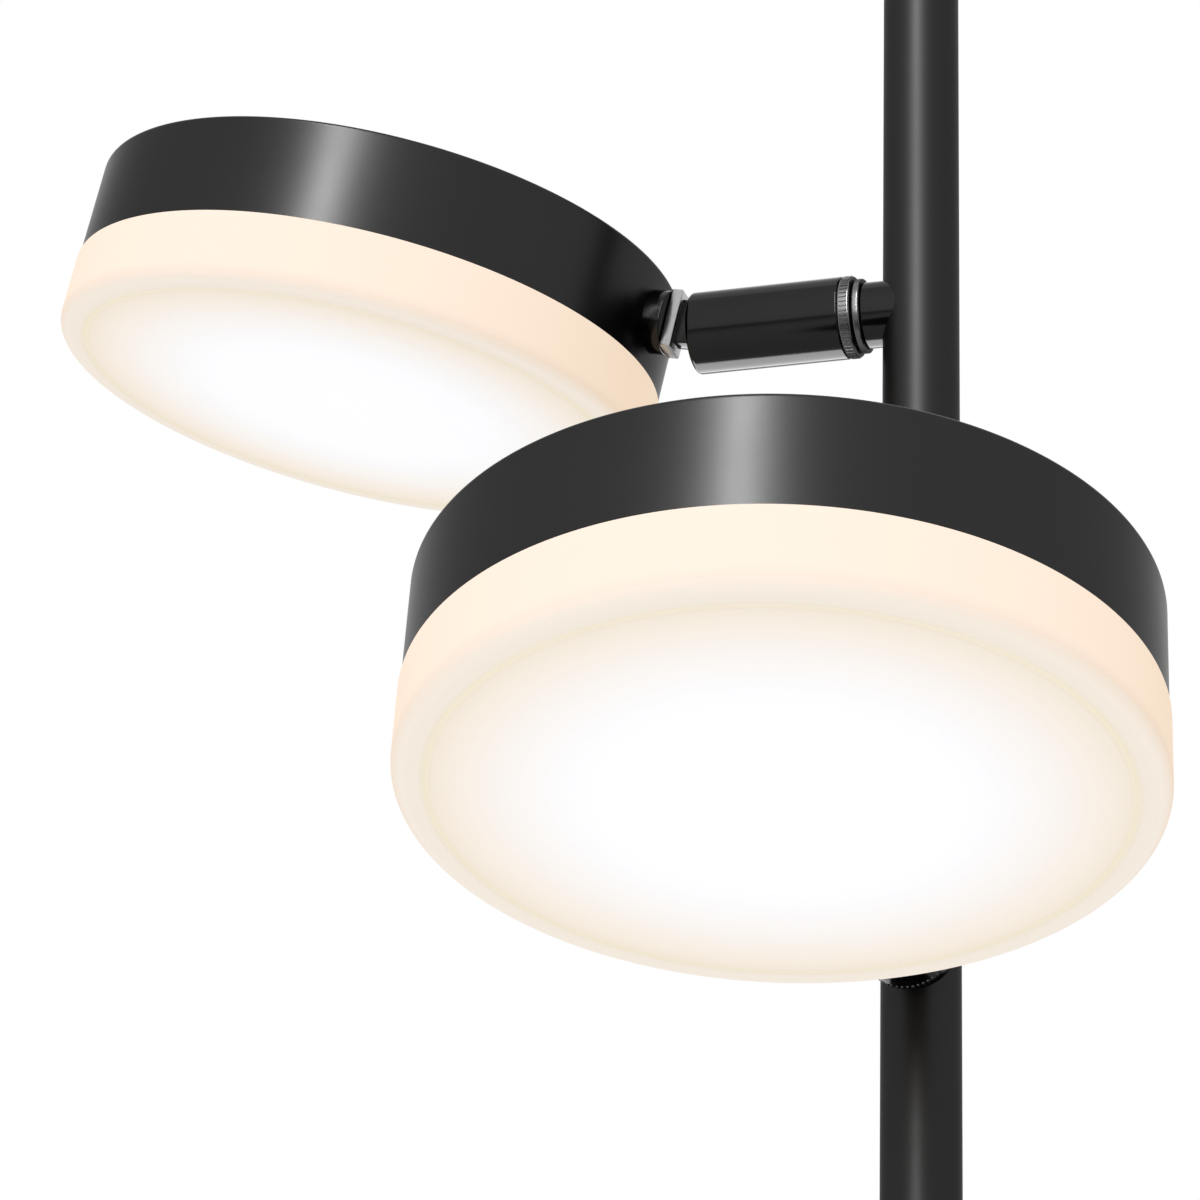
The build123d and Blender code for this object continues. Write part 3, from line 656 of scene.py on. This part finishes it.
# %% How far each point of a cup lies from its middle
FLAT_FACE_R = 63.0
FACE_SHARE = 0.5


def chart_reach(mesh, place):
    """Stores how far each point lies from the middle: 0 to 0.5 across the face, then up to 1 at the seam."""
    back = place.inverted()
    far = []
    for vertex in mesh.vertices:
        local = back @ vertex.co / MM
        out = math.hypot(local.x, local.y)
        up = max(0.0, local.z - CUP_LOW)
        along = FACE_SHARE + (1 - FACE_SHARE) * up / CUP_HEIGHT
        if up < CUP_EDGE and out < FLAT_FACE_R:
            along = FACE_SHARE * out / CUP_R
        far.append(min(1.0, along))
    mesh.attributes.new("reach", "FLOAT", "POINT").data.foreach_set("value", far)


for side in SIDES:
    cup = lathe(f"{side}_diffuser", cup_outline(), head_place(side), HEAD_SEGMENTS)
    chart_reach(cup, head_place(side))
    wear(cup, f"{side}_diffuser")
print("cup faces", len(skins[-1].data.polygons))

# %% [markdown]
# ## Pole and base
# The pole is three lengths of tube that meet at fine eased seams. The base is a spun cover over an iron
# weight, with a soft shoulder, and a small collar hides where the pole goes in. All of these are turned
# too.

# %% Pole
TUBES = ("lower_pole", "middle_pole", "upper_pole")
TUBE_WALL = 1.5
TUBE_EASE = 0.4
POLE_SEGMENTS = 96
LAMP_HEIGHT = 1400.0
CAP_THICKNESS = 3.0
CAP_LENGTH = 15.0
CAP_PLUG_R = 6.45
CAP_EASE = 1.5

for node in TUBES:
    low, high = (corner.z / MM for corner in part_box(node))
    tube = [(POLE_R, low, TUBE_EASE), (POLE_R, high, TUBE_EASE)]
    tube += [(POLE_R - TUBE_WALL, high), (POLE_R - TUBE_WALL, low)]
    wear(lathe(node, eased(tube), Matrix(), POLE_SEGMENTS), node, own_finish=pole_black)
cap_seat = LAMP_HEIGHT - CAP_THICKNESS
cap_end = LAMP_HEIGHT - CAP_LENGTH
cap = [(0, LAMP_HEIGHT), (POLE_R, LAMP_HEIGHT, CAP_EASE), (POLE_R, cap_seat)]
cap += [(CAP_PLUG_R, cap_seat), (CAP_PLUG_R, cap_end), (0, cap_end)]
wear(lathe("pole_cap", eased(cap), Matrix(), POLE_SEGMENTS), "pole_cap", own_finish=pole_black)
print("pole pieces", len(TUBES) + 1)

# %% Base cover
BASE_R = 120.0
BASE_TOP = 22.0
COVER_WALL = 1.5
COVER_RIM = 1.0
COVER_RIM_EASE = 0.3
COVER_HOLE_R = 5.2
COVER_SHOULDER = 4.0
COVER_STEPS = 8
COVER_SEGMENTS = 256

under_top = BASE_TOP - COVER_WALL
inside_r = BASE_R - COVER_WALL
cover = [
    (COVER_HOLE_R, BASE_TOP),
    (BASE_R, BASE_TOP, COVER_SHOULDER),
    (BASE_R, COVER_RIM, COVER_RIM_EASE),
    (inside_r, COVER_RIM),
    (inside_r, under_top, COVER_SHOULDER - COVER_WALL),
    (COVER_HOLE_R, under_top),
]
wear(lathe("base_cover", eased(cover, COVER_STEPS), Matrix(), COVER_SEGMENTS), "base_cover")

# %% Foot collar and felt pad
FOOT_COLLAR_R = 15.0
FOOT_COLLAR_BORE_R = 8.1
FOOT_COLLAR_TOP = 34.0
FOOT_COLLAR_BORE_EASE = 0.3
FOOT_COLLAR_TOP_EASE = 2.0
FOOT_COLLAR_SEAT_EASE = 0.2
PAD_R = 114.0
PAD_TOP = 2.0
PAD_EASE = 0.5

collar = [
    (FOOT_COLLAR_BORE_R, FOOT_COLLAR_TOP, FOOT_COLLAR_BORE_EASE),
    (FOOT_COLLAR_R, FOOT_COLLAR_TOP, FOOT_COLLAR_TOP_EASE),
    (FOOT_COLLAR_R, BASE_TOP, FOOT_COLLAR_SEAT_EASE),
    (FOOT_COLLAR_BORE_R, BASE_TOP),
]
wear(lathe("pole_collar", eased(collar), Matrix(), segments=128), "pole_collar")
pad = [(0, PAD_TOP), (PAD_R, PAD_TOP, PAD_EASE), (PAD_R, 0.0, PAD_EASE), (0, 0.0)]
wear(lathe("base_pad", eased(pad), Matrix(), segments=192), "base_pad")
print("skins so far", len(skins))

# %% [markdown]
# ## Knuckles
# Each arm is a short stub, a thick barrel that turns on it, and a flat tongue that the head tilts on. The
# barrel is a turned plug with rounded ends and a slot cut across its outer end. A cut like that is easiest
# as a Boolean: we turn the plug, subtract a box and two pins, and keep the result as a plain mesh.

# %% Boxes and cuts
EDGE_CUTS = 3


def round_edges(work, edges, rounding):
    """Rounds some edges of a mesh in the making."""
    bmesh.ops.bevel(
        work, geom=edges, offset=rounding * MM, segments=EDGE_CUTS, affect="EDGES", profile=0.5
    )


def box_mesh(name, low, high, rounding=0.0):
    """A box between two corners in millimetres, with its edges rounded if that is asked for."""
    work = bmesh.new()
    bmesh.ops.create_cube(work, size=1.0)
    for v in work.verts:
        v.co = Vector((l + (h - l) * (c + 0.5) for l, h, c in zip(low, high, v.co))) * MM
    if rounding:
        round_edges(work, list(work.edges), rounding)
    mesh = bpy.data.meshes.new(name)
    work.to_mesh(mesh)
    work.free()
    return mesh


def carve(mesh, cutters):
    """Subtracts each cutter mesh and gives the result as a plain mesh."""
    blank = bpy.data.objects.new("blank", mesh)
    bpy.context.scene.collection.objects.link(blank)
    tools = []
    for cutter in cutters:
        tool = bpy.data.objects.new("cutter", cutter)
        bpy.context.scene.collection.objects.link(tool)
        cut = blank.modifiers.new("cut", "BOOLEAN")
        cut.operation = "DIFFERENCE"
        cut.solver = "EXACT"
        cut.object = tool
        tools.append(tool)
    seen_now = bpy.context.evaluated_depsgraph_get()
    carved = bpy.data.meshes.new_from_object(blank.evaluated_get(seen_now))
    for used in (blank, *tools):
        bpy.data.objects.remove(used)
    return carved


print("faces across a rounded edge", EDGE_CUTS)

# %% Barrels
BARREL_R = 8.75
BARREL_START = 16.1
BARREL_END = 49.2
SLOT_START = 34.3
SLOT_HALF = 2.15
SLOT_LOW = -7.2
SLOT_PAST_END = 60.0
SLOT_PAST_TOP = 12.0
PIVOT_X = 40.0
PIN_HOLE_R = 2.05
PIN_HOLE_DEPTH = 17.15
GRUB_X = 23.3
GRUB_HOLE_R = 1.6
GRUB_HOLE_DEPTH = 4.5
HOLES_FROM = -10.0
BARREL_NOSE_EASE = 1.0
BARREL_BACK_EASE = 0.3
BARREL_STEPS = 8
BARREL_SEGMENTS = 128
ALONG_X = Matrix.Rotation(math.radians(90), 4, "Y")
ALONG_Y = Matrix.Rotation(math.radians(-90), 4, "X")


def hole_cutter(name, x, r, depth, segments):
    """A round cutter that goes into the barrel from behind, at a place along the arm."""
    outline = [(0, 0), (r, 0), (r, depth), (0, depth)]
    return lathe(name, outline, Matrix.Translation((x * MM, HOLES_FROM * MM, 0)) @ ALONG_Y, segments)


def barrel_mesh(side):
    """The turned plug with its slot, and holes from the back for the pin and the grub screw."""
    plug = [(0, BARREL_END), (BARREL_R, BARREL_END, BARREL_NOSE_EASE)]
    plug += [(BARREL_R, BARREL_START, BARREL_BACK_EASE), (0, BARREL_START)]
    blank = lathe(f"{side}_barrel", eased(plug, BARREL_STEPS), ALONG_X, BARREL_SEGMENTS)
    slot_low = (SLOT_START, -SLOT_HALF, SLOT_LOW)
    slot = box_mesh("slot", slot_low, (SLOT_PAST_END, SLOT_HALF, SLOT_PAST_TOP))
    pin_hole = hole_cutter("pin_hole", PIVOT_X, PIN_HOLE_R, PIN_HOLE_DEPTH, segments=48)
    grub_hole = hole_cutter("grub_hole", GRUB_X, GRUB_HOLE_R, GRUB_HOLE_DEPTH, segments=40)
    carved = carve(blank, (slot, pin_hole, grub_hole))
    carved.transform(arm_place(side))
    return tidy_mesh(carved, keep_sharp=28.0)


for side in SIDES:
    wear(barrel_mesh(side), f"{side}_swivel_barrel", own_finish=knuckle_black)
print("barrel faces", len(skins[-1].data.polygons))

# %% [markdown]
# The stub is turned too, but its shoulder is hollowed to sit on the round pole, so we subtract a pole from
# it. A plated washer lies between it and the plated ring on the barrel's end, which comes further down. The
# tongue is a flat plate with a round nose, on a round boss behind a small bright collar.

# %% Stubs and washers
SHOULDER_R = 7.0
SHOULDER_END = 11.6
SHOULDER_EASE = 0.3
THREAD_R = 4.0
THREAD_START = -2.0
THREAD_END = 11.0
JOURNAL_R = 5.0
JOURNAL_END = 30.5
JOURNAL_BORE_R = 5.05
SADDLE_HALF = 20.0
WASHER_R = 7.9
WASHER_END = 13.2
WASHER_EASE = 0.4
ARM_SEGMENTS = 96


def joined(name, *meshes):
    """Several meshes as one."""
    work = bmesh.new()
    for mesh in meshes:
        work.from_mesh(mesh)
    whole = bpy.data.meshes.new(name)
    work.to_mesh(whole)
    work.free()
    return whole


def stub_mesh(side):
    """The shoulder that is hollowed to sit on the pole, with its thread and the journal for the barrel."""
    outline = [(0, 0), (SHOULDER_R, 0), (SHOULDER_R, SHOULDER_END, SHOULDER_EASE), (0, SHOULDER_END)]
    block = lathe("shoulder", eased(outline), ALONG_X, ARM_SEGMENTS)
    saddle = [(0, -SADDLE_HALF), (POLE_R, -SADDLE_HALF), (POLE_R, SADDLE_HALF), (0, SADDLE_HALF)]
    pole_blank = lathe("pole_blank", saddle, Matrix(), segments=128)
    shaft = [(0, THREAD_START), (THREAD_R, THREAD_START), (THREAD_R, THREAD_END)]
    shaft += [(JOURNAL_R, THREAD_END), (JOURNAL_R, JOURNAL_END), (0, JOURNAL_END)]
    core = lathe("core", shaft, ALONG_X, segments=64)
    stub = joined(f"{side}_stub", tidy_mesh(carve(block, (pole_blank,))), core)
    stub.transform(arm_place(side))
    return tidy_mesh(stub, keep_sharp=30.0)


WASHER_OUTLINE = [
    (JOURNAL_BORE_R, SHOULDER_END),
    (WASHER_R, SHOULDER_END, WASHER_EASE),
    (WASHER_R, WASHER_END, WASHER_EASE),
    (JOURNAL_BORE_R, WASHER_END),
]
for side in SIDES:
    wear(stub_mesh(side), f"{side}_arm_spigot", own_finish=knuckle_black)
    washer = lathe(f"{side}_washer", eased(WASHER_OUTLINE), arm_place(side) @ ALONG_X, ARM_SEGMENTS)
    wear(washer, f"{side}_friction_washer", own_finish=dark_plate)
print("skins so far", len(skins))

# %% Tongues and bosses
TONGUE_HALF_HEIGHT = 5.0
TONGUE_HALF = 2.0
TONGUE_EASE = 0.3
TONGUE_IN_BOSS = 0.5
NOSE_STEPS = 24
COLLAR_X = 12.7
COLLAR_HALF_WIDTH = 3.5
COLLAR_HALF_HEIGHT = 6.7
COLLAR_EASE = 0.4
BOSS_X = 15.3
BOSS_END = 19.3
BOSS_R = 6.9
BOSS_EASE = 0.2
LEVEL_WITHIN = 1e-9


def tongue_mesh(side):
    """The flat tongue with its round nose, and the boss that it stands on."""
    work = bmesh.new()
    root = BOSS_X + TONGUE_IN_BOSS
    outline = [(root, -TONGUE_HALF_HEIGHT), (root, TONGUE_HALF_HEIGHT)]
    for step in range(NOSE_STEPS + 1):
        a = math.radians(90 + 180 * step / NOSE_STEPS)
        outline.append((TONGUE_HALF_HEIGHT * math.cos(a), TONGUE_HALF_HEIGHT * math.sin(a)))
    flat = work.faces.new([work.verts.new(Vector((x, -TONGUE_HALF, z)) * MM) for x, z in outline])
    raised = bmesh.ops.extrude_face_region(work, geom=[flat])["geom"]
    for v in (g for g in raised if isinstance(g, bmesh.types.BMVert)):
        v.co.y += 2 * TONGUE_HALF * MM
    rim = [e for e in work.edges if abs(e.verts[0].co.y - e.verts[1].co.y) < LEVEL_WITHIN]
    round_edges(work, rim, TONGUE_EASE)
    plate = bpy.data.meshes.new("plate")
    work.to_mesh(plate)
    work.free()
    stem = [(0, BOSS_X), (BOSS_R, BOSS_X, BOSS_EASE), (BOSS_R, BOSS_END), (0, BOSS_END)]
    boss = lathe("boss", eased(stem), ALONG_X, ARM_SEGMENTS)
    tongue = joined(f"{side}_tongue", plate, boss)
    tongue.transform(pin_place(side))
    return tidy_mesh(tongue, keep_sharp=30.0)


COLLAR_LOW = (COLLAR_X, -COLLAR_HALF_WIDTH, -COLLAR_HALF_HEIGHT)
COLLAR_HIGH = (BOSS_X, COLLAR_HALF_WIDTH, COLLAR_HALF_HEIGHT)
for side in SIDES:
    wear(tongue_mesh(side), f"{side}_tilt_tongue", own_finish=knuckle_black)
    collar_mesh = box_mesh(f"{side}_collar", COLLAR_LOW, COLLAR_HIGH, COLLAR_EASE)
    collar_mesh.transform(pin_place(side))
    wear(tidy_mesh(collar_mesh, keep_sharp=40.0), f"{side}_tongue_collar")
print("skins so far", len(skins))

# %% [markdown]
# ## Cord gland
# A small moulded gland at the back of the base is where a cord would come in. Its solid already has the right
# shape, so instead of turning it again we take a copy, merge its loose triangles and shade it smoothly.


# %% Gland
def copied(node):
    """A merged, smoothly shaded copy of a solid's mesh."""
    mesh = frame["nodes"][node].data.copy()
    return tidy_mesh(mesh, keep_sharp=30.0)


wear(copied("cord_gland"), "cord_gland")
print("gland faces", len(skins[-1].data.polygons))

# %% [markdown]
# ## What repeats
# Two things go round in circles: the light chips on the board inside each head, and the fine ridges on the
# plated swivel ring. We draw one chip and one ridge, and one small node tree sets copies of either round a
# ring, with the ring's radius and the count as named inputs. A shape that is repeated that often stays
# simple.


# %% Ring-of-copies node tree
def ring_tree():
    """Geometry nodes: copies of one item round a ring, each with its X axis pointing outwards."""
    tree = bpy.data.node_groups.new("ring_of_copies", "GeometryNodeTree")
    make = tree.interface.new_socket
    make("Item", in_out="INPUT", socket_type="NodeSocketObject")
    make("Radius", in_out="INPUT", socket_type="NodeSocketFloat")
    make("Count", in_out="INPUT", socket_type="NodeSocketInt")
    make("Finish", in_out="INPUT", socket_type="NodeSocketMaterial")
    make("Geometry", in_out="OUTPUT", socket_type="NodeSocketGeometry")
    add = tree.nodes.new
    link = tree.links.new
    given, result = add("NodeGroupInput"), add("NodeGroupOutput")
    circle = add("GeometryNodeMeshCircle")
    link(given.outputs["Count"], circle.inputs["Vertices"])
    link(given.outputs["Radius"], circle.inputs["Radius"])
    item = add("GeometryNodeObjectInfo")
    link(given.outputs["Item"], item.inputs["Object"])
    place = add("GeometryNodeInstanceOnPoints")
    link(circle.outputs["Mesh"], place.inputs["Points"])
    link(item.outputs["Geometry"], place.inputs["Instance"])
    point = add("GeometryNodeInputPosition")
    face_out = add("FunctionNodeAlignEulerToVector")
    face_out.axis = "X"
    link(point.outputs["Position"], face_out.inputs["Vector"])
    link(face_out.outputs["Rotation"], place.inputs["Rotation"])
    solid = add("GeometryNodeRealizeInstances")
    link(place.outputs["Instances"], solid.inputs["Geometry"])
    paint = add("GeometryNodeSetMaterial")
    link(solid.outputs["Geometry"], paint.inputs["Geometry"])
    link(given.outputs["Finish"], paint.inputs["Material"])
    link(paint.outputs["Geometry"], result.inputs["Geometry"])
    return tree


copies_in_ring = ring_tree()
socket_key = {s.name: s.identifier for s in copies_in_ring.interface.items_tree if s.in_out == "INPUT"}
print("inputs", list(socket_key))


# %% Copies round a ring
def ring_of(item_mesh, radius, count, paint):
    """Copies of a mesh round a ring about Z, as one plain mesh."""
    item = bpy.data.objects.new("ring_item", item_mesh)
    carrier = bpy.data.objects.new("ring_carrier", bpy.data.meshes.new("ring_carrier"))
    for helper in (item, carrier):
        bpy.context.scene.collection.objects.link(helper)
    modifier = carrier.modifiers.new("copies", "NODES")
    modifier.node_group = copies_in_ring
    modifier[socket_key["Item"]] = item
    modifier[socket_key["Radius"]] = radius * MM
    modifier[socket_key["Count"]] = count
    modifier[socket_key["Finish"]] = paint
    now = bpy.context.evaluated_depsgraph_get()
    mesh = bpy.data.meshes.new_from_object(carrier.evaluated_get(now))
    for helper in (item, carrier):
        bpy.data.objects.remove(helper)
    return mesh


print("nodes in the ring tree", len(copies_in_ring.nodes))

# %% Light chips
BOARD_THICKNESS = 1.6
BOARD_UNDERSIDE = DRUM_HALF - DRUM_ROOF - BOARD_THICKNESS
CHIP_HALF = 1.5
CHIP_CASE = 0.45
CHIP_LENS_R = 1.2
CHIP_LENS_FLATNESS = 0.29
CHIP_LENS_STEPS = 5
CHIP_RINGS = (1, 2, 3)
CHIP_RING_STEP = 14.5
CHIPS_IN_FIRST_RING = 6


def chip_mesh():
    """One light chip: a square case with a domed lens below it, both with plain facets."""
    case = box_mesh("case", (-CHIP_HALF, -CHIP_HALF, -CHIP_CASE), (CHIP_HALF, CHIP_HALF, 0))
    dome = []
    for step in range(CHIP_LENS_STEPS + 1):
        a = math.pi * step / CHIP_LENS_STEPS
        rise = CHIP_LENS_R * math.cos(a) * CHIP_LENS_FLATNESS
        dome.append((CHIP_LENS_R * math.sin(a), rise - CHIP_CASE))
    lens = lathe("lens", dome, Matrix.Rotation(math.radians(90), 4, "Z"), segments=10)
    chip = joined("one_chip", case, lens)
    chip.shade_flat()
    return chip


for side in SIDES:
    chip_rings = []
    for ring in CHIP_RINGS:
        count = CHIPS_IN_FIRST_RING * ring
        chip_rings.append(ring_of(chip_mesh(), CHIP_RING_STEP * ring, count, finishes["phosphor"]))
        chip_rings[-1].transform(Matrix.Rotation(math.pi / count, 4, "Z"))
    chips = joined(f"{side}_chips", *chip_rings)
    chips.transform(head_place(side) @ Matrix.Translation((0, 0, BOARD_UNDERSIDE * MM)))
    wear(chips, f"{side}_led_chips")
print("chip faces in a head", len(skins[-1].data.polygons))

# %% Knurled swivel rings
RING_START = 13.5
RING_BODY_R = 8.55
RING_FRONT_EASE = 0.4
RING_BACK_EASE = 0.3
RIDGE_COUNT = 52
RIDGE_HALF_LENGTH = 0.9
RIDGE_HALF_WIDTH = 0.3
RIDGE_HEIGHT = 0.2
RIDGE_TOP_SHARE = 0.4
RING_BODY = [
    (JOURNAL_BORE_R, RING_START),
    (RING_BODY_R, RING_START, RING_FRONT_EASE),
    (RING_BODY_R, BARREL_START, RING_BACK_EASE),
    (JOURNAL_BORE_R, BARREL_START),
]


def ridge_mesh():
    """One ridge of the knurl: a low bar whose top is narrower and shorter than its foot."""
    corners = []
    for x, shrink in ((-RIDGE_HEIGHT, 1.0), (RIDGE_HEIGHT, RIDGE_TOP_SHARE)):
        half_y = RIDGE_HALF_WIDTH * shrink
        half_z = RIDGE_HALF_LENGTH - RIDGE_HALF_WIDTH * (1 - shrink)
        corners += [(x, -half_y, -half_z), (x, half_y, -half_z), (x, half_y, half_z), (x, -half_y, half_z)]
    sides = [(k, (k + 1) % 4, (k + 1) % 4 + 4, k + 4) for k in range(4)]
    mesh = bpy.data.meshes.new("one_ridge")
    mesh.from_pydata([Vector(c) * MM for c in corners], [], [(3, 2, 1, 0), (4, 5, 6, 7), *sides])
    return mesh


for side in SIDES:
    knurl = ring_of(ridge_mesh(), RING_BODY_R, RIDGE_COUNT, dark_plate)
    knurl.transform(Matrix.Translation((0, 0, (RING_START + BARREL_START) / 2 * MM)))
    ring_body = lathe("ring_body", eased(RING_BODY), Matrix(), 2 * RIDGE_COUNT)
    whole_ring = joined(f"{side}_ring", ring_body, knurl)
    whole_ring.transform(arm_place(side) @ ALONG_X)
    wear(tidy_mesh(whole_ring, keep_sharp=30.0), f"{side}_swivel_ring", own_finish=dark_plate)
print("ridges", RIDGE_COUNT, "faces", len(skins[-1].data.polygons))

# %% [markdown]
# ## Everything else
# The pieces that keep their own solids are mostly out of sight: the weight, the nut, the cable, the boards.
# Each one still gets its real finish, so that the lamp can be opened or shown in parts.

# %% Finish the remaining solids
replaced = {piece.name.removesuffix("_skin") for piece in skins}
for node, solid in frame["nodes"].items():
    if node in replaced:
        continue
    solid.data.materials.clear()
    solid.data.materials.append(finishes[slot_of_node[node]])
print("solids finished", len(frame["nodes"]) - len(replaced))

# %% [markdown]
# ## What the two reflectors light
# In the studio, the lower arm hides behind its own head and gets no light from the low card, and the bright
# collars don't mirror the tall strip. Light linking gives a light a list of the pieces that it may light, or
# that it leaves out.

# %% Light linking
CARD_LIGHTS = ("upper_swivel_barrel", "upper_arm_spigot", "upper_tilt_tongue")
STRIP_LEAVES_OUT = ("upper_tongue_collar", "lower_tongue_collar")


def link_light(light, nodes, state):
    """Gives a light the list of skins that it lights (INCLUDE) or leaves out (EXCLUDE)."""
    chosen = bpy.data.collections.new(f"{light.name}_list")
    for piece in skins:
        if piece.name.removesuffix("_skin") in nodes:
            chosen.objects.link(piece)
    for entry in chosen.collection_objects:
        entry.light_linking.link_state = state
    light.light_linking.receiver_collection = chosen
    return len(chosen.objects)


print("card lights", link_light(card, CARD_LIGHTS, "INCLUDE"))
print("strip leaves out", link_light(strip, STRIP_LEAVES_OUT, "EXCLUDE"))
